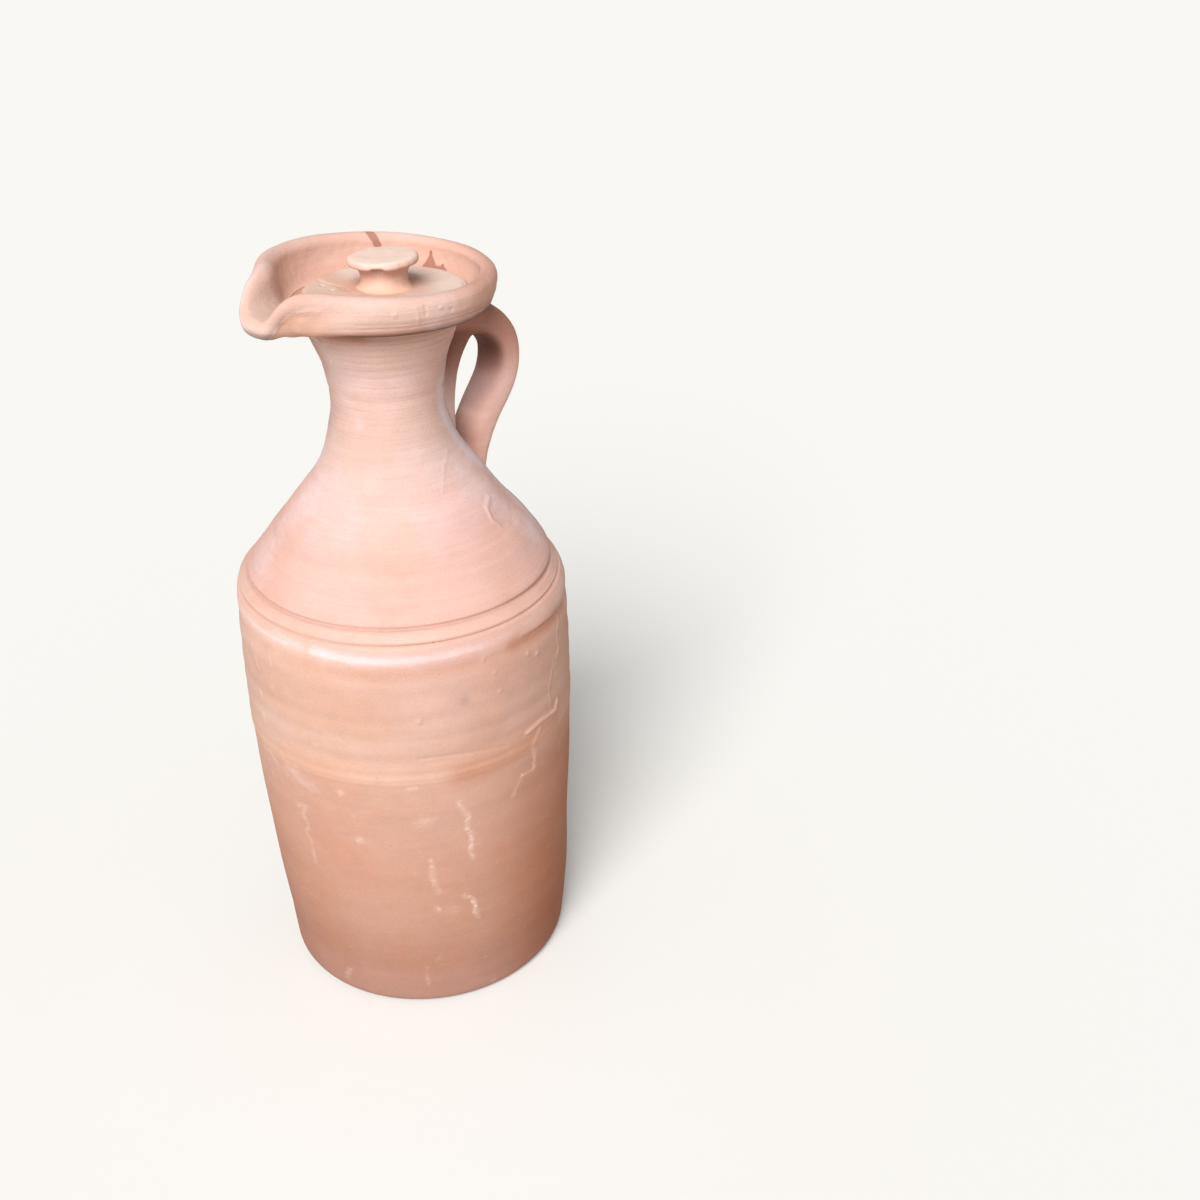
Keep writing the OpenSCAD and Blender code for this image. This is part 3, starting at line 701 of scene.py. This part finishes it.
# Places across the lid, and how much dust lies there
DUST_PLACES = ((-20, -14, -11, -5, 2), (0.6, 0.55, 0.12, 0.15, 1))


def lid_split(x, y):
    """Strength of the lid's crack and nicks at places on it."""
    near = np.full_like(x, 1e9)
    for (x0, y0), (x1, y1) in zip(CRACK, CRACK[1:]):
        near = np.minimum(near, off_segment(x - x0, y - y0, x1 - x0, y1 - y0))
    split = 0.45 * hill(near / 0.45)
    for x0, y0 in NICKS:
        split = np.maximum(split, np.exp(-(((x - x0) / 0.7) ** 2 + ((y - y0) / 1.3) ** 2)))
    return split


def make_lid():
    angles = even_angles(300)
    rim = bezier([LID_R, LID_EDGE / 2], [LID_R + 0.1, LID_T - LID_EDGE], [LID_R - 0.2, LID_T],
                 [LID_R - 1.6, LID_T], 8)
    plate = [[r, LID_T + 0.25 * math.cos((LID_R - r) / 3.3)] for r in np.arange(LID_R - 2.2, 1.0, -0.5)]
    under = join([[1, 0], [10, 0], [RING_IN, 0], [RING_IN, -RING_DEPTH], [20.5, -RING_DEPTH - 0.3],
                  [RING_OUT - 0.5, -RING_DEPTH], [RING_OUT, 0], [29, 0], [LID_R - 0.7, 0]])
    line = join(under, rim, plate)
    line[:, 1] += LID_Z
    flat = turned(line, angles)
    on_top = (np.arange(len(line)) >= len(under)).astype(float)[:, None]
    x, y = flat[..., 0] + LID_X, flat[..., 1] + LID_Y
    split = lid_split(x, y)
    left = 1 / (1 + np.exp((x + 12.3) / 0.4)) * (y > -6)
    depth = 0.22 * noise(flat, 14, 82) + 0.1 * noise(flat, 4, 83)
    depth = depth - 0.7 * split - 0.2 * left
    chips = np.clip(noise(flat, 6, 84) - 0.35, 0, 1) * (np.hypot(flat[..., 0], flat[..., 1]) > LID_R - 2.5)
    depth = (depth - 0.9 * chips) * on_top
    rings = turned(line, angles, depth) + np.array([LID_X, LID_Y, 0])
    # Less dust near the knob's foot, which leaves painted shade round it
    knob_gap = np.hypot(x - LID_X, y - LID_Y) - 12.5
    dust_and_shade = np.interp(x, *DUST_PLACES) * np.clip(knob_gap / 9, 0.3, 1)
    marks = {"dust_and_shade": dust_and_shade * on_top, "soot_and_shade": 1.3 * split * on_top, "bloom": patches(flat, 12, 85),
             "height": flat[..., 2] / RIM_Z}
    low, high = [LID_X, LID_Y, LID_Z], [LID_X, LID_Y, LID_Z + LID_T + 0.2]
    return grid_mesh("lid_plate", rings, marks, poles=(low, high))


# Radius of the knob's stem, and height of its head's underside
STEM_R, HEAD_Z = 9.3, KNOB_H - 2.5
# Side that the knob leans to, and how far, in mm per mm
LEAN_SIDE, LEAN = math.radians(136), 0.05


def make_knob():
    angles = even_angles(160)
    stem_z = HEAD_Z * 0.55
    stem = bezier([12.6, -0.4], [9.6, 0.8], [9.0, 3.0], [STEM_R, stem_z], 14)
    under = bezier([STEM_R, stem_z], [9.7, HEAD_Z * 0.8], [11.6, HEAD_Z - 1.4],
                   [KNOB_R - 0.7, HEAD_Z - 0.7], 10)
    edge = bezier([KNOB_R - 0.7, HEAD_Z - 0.7], [KNOB_R + 0.3, HEAD_Z - 0.4], [KNOB_R + 0.3, KNOB_H - 0.9],
                  [KNOB_R - 0.9, KNOB_H - 0.3], 10)
    top = [[r, KNOB_H - 0.15 - 0.12 * math.cos(r / 3)] for r in np.arange(KNOB_R - 1.4, 0.5, -0.5)]
    line = join(stem, under, edge, top)
    line[:, 1] += KNOB_Z
    flat = turned(line, angles)
    z = flat[..., 2]
    r = np.hypot(flat[..., 0], flat[..., 1])
    chip_z = KNOB_Z + HEAD_Z - 0.9
    finger = trace(angles, z, r, [(1.6, 1.0, [(-95, 341), (-92, 331)])])
    chip = trace(angles, z, r, [(1.2, 1.0, [(-142, chip_z), (-130, chip_z)])])
    depth = 0.3 * noise(flat, 8, 91) + 0.12 * noise(flat, 3, 92)
    rings = turned(line, angles, depth - 0.12 * finger - 0.8 * chip)
    raised = rise(rings[..., 2], KNOB_Z, KNOB_Z + KNOB_H)
    lean = rings[..., 0] * math.cos(LEAN_SIDE) + rings[..., 1] * math.sin(LEAN_SIDE)
    rings[..., 2] -= LEAN * lean * raised
    rings = rings + np.array([LID_X, LID_Y, 0])
    on_top = np.clip((line[:, 1:] - KNOB_Z - KNOB_H + 1.0) / 0.5, 0, 1) + np.zeros_like(z)
    marks = {"dust_and_shade": 0.8 * on_top, "soot_and_shade": 0.9 * chip, "bloom": patches(flat, 9, 95), "height": z / RIM_Z}
    low, high = [LID_X, LID_Y, KNOB_Z - 0.3], [LID_X, LID_Y, rings[-1, :, 2].mean()]
    return grid_mesh("knob", rings, marks, poles=(low, high))


class Clay:
    """Builds one node material step by step."""

    def __init__(self, name):
        self.material = bpy.data.materials.new(name)
        self.material.use_nodes = True
        self.tree = self.material.node_tree
        self.tree.nodes.clear()
        self.place = self.add("ShaderNodeTexCoord").outputs["Object"]

    def add(self, kind, **settings):
        node = self.tree.nodes.new(kind)
        for key, value in settings.items():
            setattr(node, key, value)
        return node

    def put(self, socket, value):
        if isinstance(value, bpy.types.NodeSocket):
            self.tree.links.new(value, socket)
        elif isinstance(value, tuple) and len(value) == 3 and socket.type == "RGBA":
            socket.default_value = (*value, 1.0)
        else:
            socket.default_value = value

    def math(self, operation, a, b=0.0, c=0.0):
        node = self.add("ShaderNodeMath", operation=operation)
        for socket, value in zip(node.inputs, (a, b, c)):
            self.put(socket, value)
        return node.outputs[0]

    def noise(self, scale, detail=3.0, rough=0.55, stretch=(1, 1, 1)):
        moved = self.add("ShaderNodeVectorMath", operation="MULTIPLY")
        self.put(moved.inputs[0], self.place)
        moved.inputs[1].default_value = stretch
        node = self.add("ShaderNodeTexNoise")
        self.put(node.inputs["Vector"], moved.outputs[0])
        for key, value in (("Scale", scale), ("Detail", detail), ("Roughness", rough)):
            node.inputs[key].default_value = value
        return node.outputs["Fac"]

    def mark(self, name):
        return self.add("ShaderNodeAttribute", attribute_name=name).outputs["Fac"]

    def span(self, value, low, high, to_low=0.0, to_high=1.0):
        """Maps low to high onto another span, smoothly and with nothing beyond its ends."""
        node = self.add("ShaderNodeMapRange", interpolation_type="SMOOTHSTEP")
        keys = ("Value", "From Min", "From Max", "To Min", "To Max")
        for key, part in zip(keys, (value, low, high, to_low, to_high)):
            self.put(node.inputs[key], part)
        return node.outputs["Result"]

    def mix(self, share, a, b, blend="MIX"):
        node = self.add("ShaderNodeMix", data_type="RGBA", blend_type=blend)
        self.put(node.inputs["Factor"], share)
        self.put(node.inputs[6], a)
        self.put(node.inputs[7], b)
        return node.outputs[2]

    def ramp(self, value, stops):
        node = self.add("ShaderNodeValToRGB")
        band = node.color_ramp
        while len(band.elements) < len(stops):
            band.elements.new(0.5)
        for element, (at, colour) in zip(band.elements, stops):
            element.position = at
            element.color = (*colour, 1.0)
        self.put(node.inputs[0], value)
        return node.outputs[0]

    def scale_colour(self, colour, value):
        grey = self.add("ShaderNodeCombineColor")
        for socket in grey.inputs:
            self.put(socket, value)
        return self.mix(1.0, colour, grey.outputs[0], "MULTIPLY")

    def swing(self, value):
        """How far a noise value lies from its middle."""
        return self.math("SUBTRACT", value, 0.5)

    def frayed(self, name, noise, swing, low, high):
        """A mark whose edge the noise frays, from 0 at low to 1 at high."""
        return self.span(self.math("MULTIPLY_ADD", noise, swing, self.mark(name)), low, high)

    def tint(self, colour, tint):
        return self.mix(1.0, colour, tint, "MULTIPLY")

    def cover(self, colour, mark, share, over):
        """The colour with a share of another one over it where the mark is 1."""
        return self.mix(self.math("MULTIPLY", mark, share), colour, over)

    def finish(self, colour, height):
        """The matt surface itself, with its fine relief as bump."""
        shader = self.add("ShaderNodeBsdfPrincipled")
        shader.inputs["Specular IOR Level"].default_value = 0.22
        self.put(shader.inputs["Base Color"], colour)
        self.put(shader.inputs["Roughness"], self.span(self.noise(60, 4), 0.3, 0.7, 0.78, 0.95))
        lift = self.add("ShaderNodeBump")
        lift.inputs["Strength"].default_value = 0.5
        lift.inputs["Distance"].default_value = 0.0005
        self.put(lift.inputs["Height"], height)
        self.put(shader.inputs["Normal"], lift.outputs[0])
        out = self.add("ShaderNodeOutputMaterial")
        self.put(out.inputs["Surface"], shader.outputs[0])
        return self.material


# Colours that lie over the clay, and colours of painted shade and painted highlight
LIME_COLOUR = (0.68, 0.49, 0.42)
BLOOM_COLOUR = (0.66, 0.53, 0.52)
WASH_HIGHLIGHT_COLOUR = (0.68, 0.54, 0.56)
GROOVE_SHADE_COLOUR = (0.32, 0.15, 0.11)
PALE_COLOUR = (0.64, 0.53, 0.56)
SOOT_AND_SHADE_COLOUR = (0.24, 0.18, 0.15)
STAIN_COLOUR = (0.27, 0.105, 0.07)
DUST_COLOUR = (0.555, 0.45, 0.385)
CREASE_SHADE_COLOUR = (0.15, 0.075, 0.055)
# Painted shade at the top of the handle's arch
ARCH_SHADE_COLOUR = (0.11, 0.042, 0.03)
# Marks of the dish, how much they cover, and their colours; the second is painted shade in the spout's channel,
# the third painted light
DISH_MARKS = [
    ("inside", 0.5, (0.56, 0.31, 0.225)), ("channel_shade", 0.7, (0.485, 0.345, 0.295)),
    ("lit", 0.7, (0.8, 0.5, 0.4)), ("torn", 0.8, (0.5, 0.275, 0.195)), ("tear", 0.5, (0.36, 0.175, 0.12))]
# Tints, which the clay's own colour is multiplied by; the third is painted shade on the shaded sides
WARM_TINT = (0.98, 0.91, 0.85)
SCORE_TINT = (0.76, 0.62, 0.56)
SHADE_TINT = (0.79, 0.58, 0.45)
BLUSH_TINT = (0.93, 0.87, 0.87)
# Painted shade inside the handle's arch
ARCH_SHADE_TINT = (0.64, 0.56, 0.54)


def clay_ground(clay, stops, streak, fine, grain, lines, wander):
    """The clay's own colour by height, with warm patches, throwing lines, mottle and grain."""
    height = clay.math("MULTIPLY_ADD", clay.swing(streak), wander, clay.mark("height"))
    colour = clay.ramp(height, stops)
    warm = clay.span(clay.noise(22, 5, 0.6), 0.38, 0.66)
    colour = clay.mix(warm, colour, clay.tint(colour, WARM_TINT))
    mottle = clay.noise(85, 5, 0.65)
    tone = 1.0
    for value, strength in ((streak, 0.2), (mottle, 0.2), (fine, 0.18 * lines), (grain, 0.26)):
        tone = clay.math("MULTIPLY_ADD", clay.swing(value), strength, tone)
    colour = clay.scale_colour(colour, tone)
    scored = clay.math("MULTIPLY", clay.span(clay.noise(1.0, 2, 0.5, (7, 7, 640)), 0.56, 0.68),
                       clay.span(clay.mark("height"), 0.86, 0.9))
    return clay.cover(colour, scored, 0.28 * lines, clay.tint(colour, SCORE_TINT))


def weathered(clay, colour):
    """Lime, pale patches, the wash with its painted highlight, painted shade in the grooves, and soot and
    painted shade over the clay; also gives where the lime is thick.
    """
    torn = clay.swing(clay.noise(1, 5, 0.7, (120, 120, 260)))
    flecks = clay.swing(clay.noise(330, 5, 0.7))
    colour = clay.cover(colour, clay.frayed("lime", torn, 1.2, 0.1, 1.0), 0.32, LIME_COLOUR)
    lime = clay.frayed("lime", flecks, 3.4, 0.5, 1.15)
    broken = clay.span(clay.noise(190, 4, 0.7), 0.43, 0.56)
    colour = clay.cover(colour, clay.math("MULTIPLY", lime, broken), 0.58, LIME_COLOUR)
    colour = clay.cover(colour, clay.frayed("pale", torn, 1.2, 0.1, 1.1), 0.5, PALE_COLOUR)
    # Pale wash, partly painted highlight
    colour = clay.cover(colour, clay.frayed("wash_and_highlight", torn, 1.3, 0.1, 1.0), 0.52, WASH_HIGHLIGHT_COLOUR)
    # Painted shade in the grooves
    colour = clay.cover(colour, clay.mark("groove"), 0.3, GROOVE_SHADE_COLOUR)
    # Soot and dark marks, with painted shade in the dish's well
    soot_and_shade = clay.math("MULTIPLY", clay.mark("soot_and_shade"), clay.span(clay.noise(140, 4), 0.2, 0.6))
    return clay.cover(colour, soot_and_shade, 0.6, SOOT_AND_SHADE_COLOUR), lime


def pitted(clay):
    """Where small dark pits lie."""
    specks = clay.add("ShaderNodeTexVoronoi")
    clay.put(specks.inputs["Vector"], clay.place)
    specks.inputs["Scale"].default_value = 260
    return clay.math("MULTIPLY", clay.span(specks.outputs["Distance"], 0.05, 0.16, 1.0, 0.0),
                     clay.span(clay.noise(70, 2), 0.58, 0.66))


def clay_material(name, stops, bloom, extra, lines, rings=330, wander=0.02):
    """Fired clay: extra adds the piece's own marks, lines is the strength of its fine lines, rings how close
    its broad ones lie, and wander how far they shift the colours' heights."""
    clay = Clay(name)
    streak = clay.noise(1.0, 4, 0.6, (9, 9, rings))
    fine = clay.noise(1.0, 3, 0.6, (26, 26, 1500))
    grain = clay.noise(1300, 3, 0.65)
    colour = clay_ground(clay, stops, streak, fine, grain, lines, wander)
    veil = clay.math("MULTIPLY", clay.span(clay.mark("bloom"), 0.55, 1.0),
                     clay.span(clay.noise(45, 5), 0.35, 0.65))
    colour = clay.cover(colour, veil, bloom, BLOOM_COLOUR)
    colour, lime = weathered(clay, colour)
    colour = extra(clay, colour)
    pit = pitted(clay)
    colour = clay.cover(colour, pit, 0.35, SOOT_AND_SHADE_COLOUR)
    lift = clay.math("MULTIPLY", streak, 1.1 * lines)
    for value, strength in ((fine, 0.9 * lines), (grain, 0.7), (lime, 0.35), (pit, -0.6)):
        lift = clay.math("MULTIPLY_ADD", value, strength, lift)
    return clay.finish(colour, lift)


def darker_and_shade(clay, colour):
    """Painted shade and darker patches on the shaded sides, and rosier clay on the blushed side."""
    colour = clay.mix(clay.mark("darker_and_shade"), colour, clay.tint(colour, SHADE_TINT))
    return clay.mix(clay.mark("blush"), colour, clay.tint(colour, BLUSH_TINT))


def stained(clay, colour):
    """The rim: the dish's own colours with painted shade in its channel and painted light beside it, painted
    shade on its right end and in the crease below it, and the old stain.
    """
    for name, share, over in DISH_MARKS:
        colour = clay.cover(colour, clay.mark(name), share, over)
    colour = darker_and_shade(clay, colour)
    # Painted shade in the crease under the rim
    colour = clay.cover(colour, clay.mark("edge"), 0.85, CREASE_SHADE_COLOUR)
    ragged = clay.swing(clay.noise(260, 3, 0.6))
    return clay.cover(colour, clay.frayed("stain", ragged, 0.5, 0.35, 0.6), 0.8, STAIN_COLOUR)


def dusted(clay, colour):
    """The lid and knob: dust in patches, and painted shade round the knob's foot where the dust thins."""
    dust_and_shade = clay.math("MULTIPLY", clay.mark("dust_and_shade"), clay.span(clay.noise(90, 5, 0.6), 0.2, 0.55, 0.55, 1.0))
    return clay.cover(colour, dust_and_shade, 0.8, DUST_COLOUR)


def arch_shaded(clay, colour):
    """The handle: painted shade towards the inside of its arch, darkest at its top."""
    inner = clay.mix(clay.mark("inner"), colour, clay.tint(colour, ARCH_SHADE_TINT))
    return clay.cover(inner, clay.mark("deep_shade"), 0.85, ARCH_SHADE_COLOUR)


def at_heights(*stops):
    """Colours by height in mm, as the materials' height mark counts it."""
    return [(z / RIM_Z, colour) for z, colour in stops]


# Body colours by height: darker towards the foot, partly the clay's own colour and partly painted shade near
# the floor; lighter just under the lower groove with the painted highlight there
BODY_STOPS = at_heights(
    (0, (0.3, 0.158, 0.124)), (28, (0.31, 0.158, 0.112)), (62, (0.372, 0.204, 0.146)),
    (90, (0.41, 0.222, 0.16)), (112, (0.42, 0.24, 0.182)), (136.8, (0.445, 0.262, 0.198)),
    (137.8, (0.508, 0.315, 0.24)), (142, (0.48, 0.296, 0.226)), (160, (0.468, 0.304, 0.24)),
    (178, (0.472, 0.296, 0.234)), (190, (0.51, 0.33, 0.268)), (194, (0.495, 0.312, 0.248)),
    (197, (0.55, 0.365, 0.31)), (202, (0.575, 0.4, 0.35)), (206, (0.52, 0.318, 0.262)))
# Shoulder colours by height: lighter below the rim as painted light in its shadow, then painted shade darkening
# into the crease
SHOULDER_STOPS = at_heights(
    (206, (0.535, 0.345, 0.285)), (214, (0.512, 0.312, 0.265)), (221, (0.51, 0.32, 0.278)),
    (232, (0.512, 0.32, 0.275)), (246, (0.55, 0.365, 0.335)), (262, (0.508, 0.366, 0.338)),
    (276, (0.478, 0.332, 0.292)), (288, (0.53, 0.362, 0.32)), (300, (0.575, 0.398, 0.365)),
    (310, (0.59, 0.4, 0.35)), (316, (0.6, 0.4, 0.345)), (320, (0.4, 0.235, 0.18)),
    (323.4, (0.22, 0.115, 0.085)), (325, (0.5, 0.3, 0.215)))
# Rim colours by height, darkest at the crease as painted shade
RIM_STOPS = at_heights(
    (324.3, (0.15, 0.075, 0.055)), (325.3, (0.4, 0.225, 0.18)), (329, (0.5, 0.325, 0.272)),
    (334, (0.56, 0.385, 0.33)), (338.4, (0.5, 0.335, 0.29)))
# Handle colours by height, darker towards the top as painted shade under the rim
HANDLE_STOPS = at_heights(
    (240, (0.54, 0.33, 0.285)), (262, (0.59, 0.38, 0.33)), (282, (0.6, 0.38, 0.33)),
    (292, (0.49, 0.265, 0.215)), (301, (0.39, 0.19, 0.145)), (308, (0.345, 0.158, 0.116)),
    (314, (0.3, 0.13, 0.09)))
LID_STOPS = at_heights((326, (0.46, 0.28, 0.21)), (330, (0.5, 0.3, 0.23)))
KNOB_STOPS = at_heights((330, (0.62, 0.37, 0.275)), (339, (0.64, 0.43, 0.36)))


def dress(piece, node_names, body, material):
    piece.data.materials.append(material)
    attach(piece, body)
    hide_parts(*node_names)


# The pieces, as (function, CAD node, body, slot, then the material's stops, bloom, extra, lines, rings, wander)
PIECES = [
    (make_body, "jar_body", "jar", "body_clay", BODY_STOPS, 0.15, darker_and_shade, 0.25, 110, 0.004),
    (make_shoulder, "shoulder_neck", "jar", "shoulder_clay", SHOULDER_STOPS, 0.5, darker_and_shade, 0.8),
    (make_rim, "pouring_rim", "jar", "rim_clay", RIM_STOPS, 0.3, stained, 0.4),
    (make_handle, "handle", "jar", "handle_clay", HANDLE_STOPS, 0.35, arch_shaded, 0.2),
    (make_lid, "lid_disc", "lid", "lid_clay", LID_STOPS, 0.2, dusted, 0.2),
    (make_knob, "lid_knob", "lid", "knob_clay", KNOB_STOPS, 0.2, dusted, 0.2)]
for make, node, body, slot, *look in PIECES:
    dress(make(), [node], body, clay_material(slot, *look))

# Pale floor
FLOOR_HALF = 60.0
floor_mesh = bpy.data.meshes.new("floor")
corners = [(x * FLOOR_HALF, y * FLOOR_HALF, 0) for x, y in ((-1, -1), (1, -1), (1, 1), (-1, 1))]
floor_mesh.from_pydata(corners, [], [(0, 1, 2, 3)])
floor = placed("floor", floor_mesh)
paper = Clay("floor_paper")
matt = paper.add("ShaderNodeBsdfDiffuse")
paper.put(matt.inputs["Color"], (0.62, 0.609, 0.587))
paper.put(paper.add("ShaderNodeOutputMaterial").inputs["Surface"], matt.outputs[0])
floor_mesh.materials.append(paper.material)

# Soft light from the front left, with a pale sky all round
SUN_AZIMUTH, SUN_HEIGHT = math.radians(-144), math.radians(42)
sun = bpy.data.lights.new("window", "SUN")
sun.energy = 5.35
sun.angle = math.radians(38)
to_sun = Vector((math.cos(SUN_HEIGHT) * math.cos(SUN_AZIMUTH), math.cos(SUN_HEIGHT) * math.sin(SUN_AZIMUTH),
                 math.sin(SUN_HEIGHT)))
sun_object = placed("window", sun)
sun_object.rotation_mode = "QUATERNION"
sun_object.rotation_quaternion = to_sun.to_track_quat("Z", "Y")
world = bpy.data.worlds.new("sky")
world.use_nodes = True
links, nodes = world.node_tree.links, world.node_tree.nodes
sky = nodes["Background"]
sky.inputs["Color"].default_value = (1.0, 0.995, 0.985, 1.0)
sky.inputs["Strength"].default_value = 0.4
# The camera, gloss and glass see the floor's own pale colour where the floor ends
backdrop = nodes.new("ShaderNodeBackground")
backdrop.inputs["Color"].default_value = (0.947, 0.93, 0.896, 1.0)
backdrop.inputs["Strength"].default_value = 1.0
ray = nodes.new("ShaderNodeLightPath")
seen = ray.outputs["Is Camera Ray"]
for kind in ("Is Glossy Ray", "Is Transmission Ray"):
    either = nodes.new("ShaderNodeMath")
    either.operation = "MAXIMUM"
    links.new(seen, either.inputs[0])
    links.new(ray.outputs[kind], either.inputs[1])
    seen = either.outputs[0]
choice = nodes.new("ShaderNodeMixShader")
links.new(seen, choice.inputs[0])
links.new(sky.outputs[0], choice.inputs[1])
links.new(backdrop.outputs[0], choice.inputs[2])
links.new(choice.outputs[0], nodes["World Output"].inputs["Surface"])
bpy.context.scene.world = world
bpy.context.scene.view_settings.view_transform = "Standard"

# Camera where the photograph was taken from, in metres, and how far its picture is shifted
PITCH, ROLL, HEADING = math.radians(33.62), math.radians(-0.54), math.radians(46)
CAMERA_PLACE = (-0.2958, -0.435, 0.4799)
PHOTO_PIXELS, SHIFT_PIXELS = 1200, 98
ahead = Vector((math.cos(HEADING), math.sin(HEADING), 0))
right = Vector((math.sin(HEADING), -math.cos(HEADING), 0))
above = Vector((0, 0, 1))
forward = ahead * math.cos(PITCH) - above * math.sin(PITCH)
up = ahead * math.sin(PITCH) + above * math.cos(PITCH)
side = right * math.cos(ROLL) - up * math.sin(ROLL)
top = right * math.sin(ROLL) + up * math.cos(ROLL)
camera = bpy.data.cameras.new("camera")
camera.sensor_width = 36.0
camera.lens = 39.0
camera.shift_y = SHIFT_PIXELS / PHOTO_PIXELS
camera_object = placed("camera", camera)
turned_to = Matrix((side, top, -forward)).transposed().to_4x4()
camera_object.matrix_world = Matrix.Translation(CAMERA_PLACE) @ turned_to
bpy.context.scene.camera = camera_object
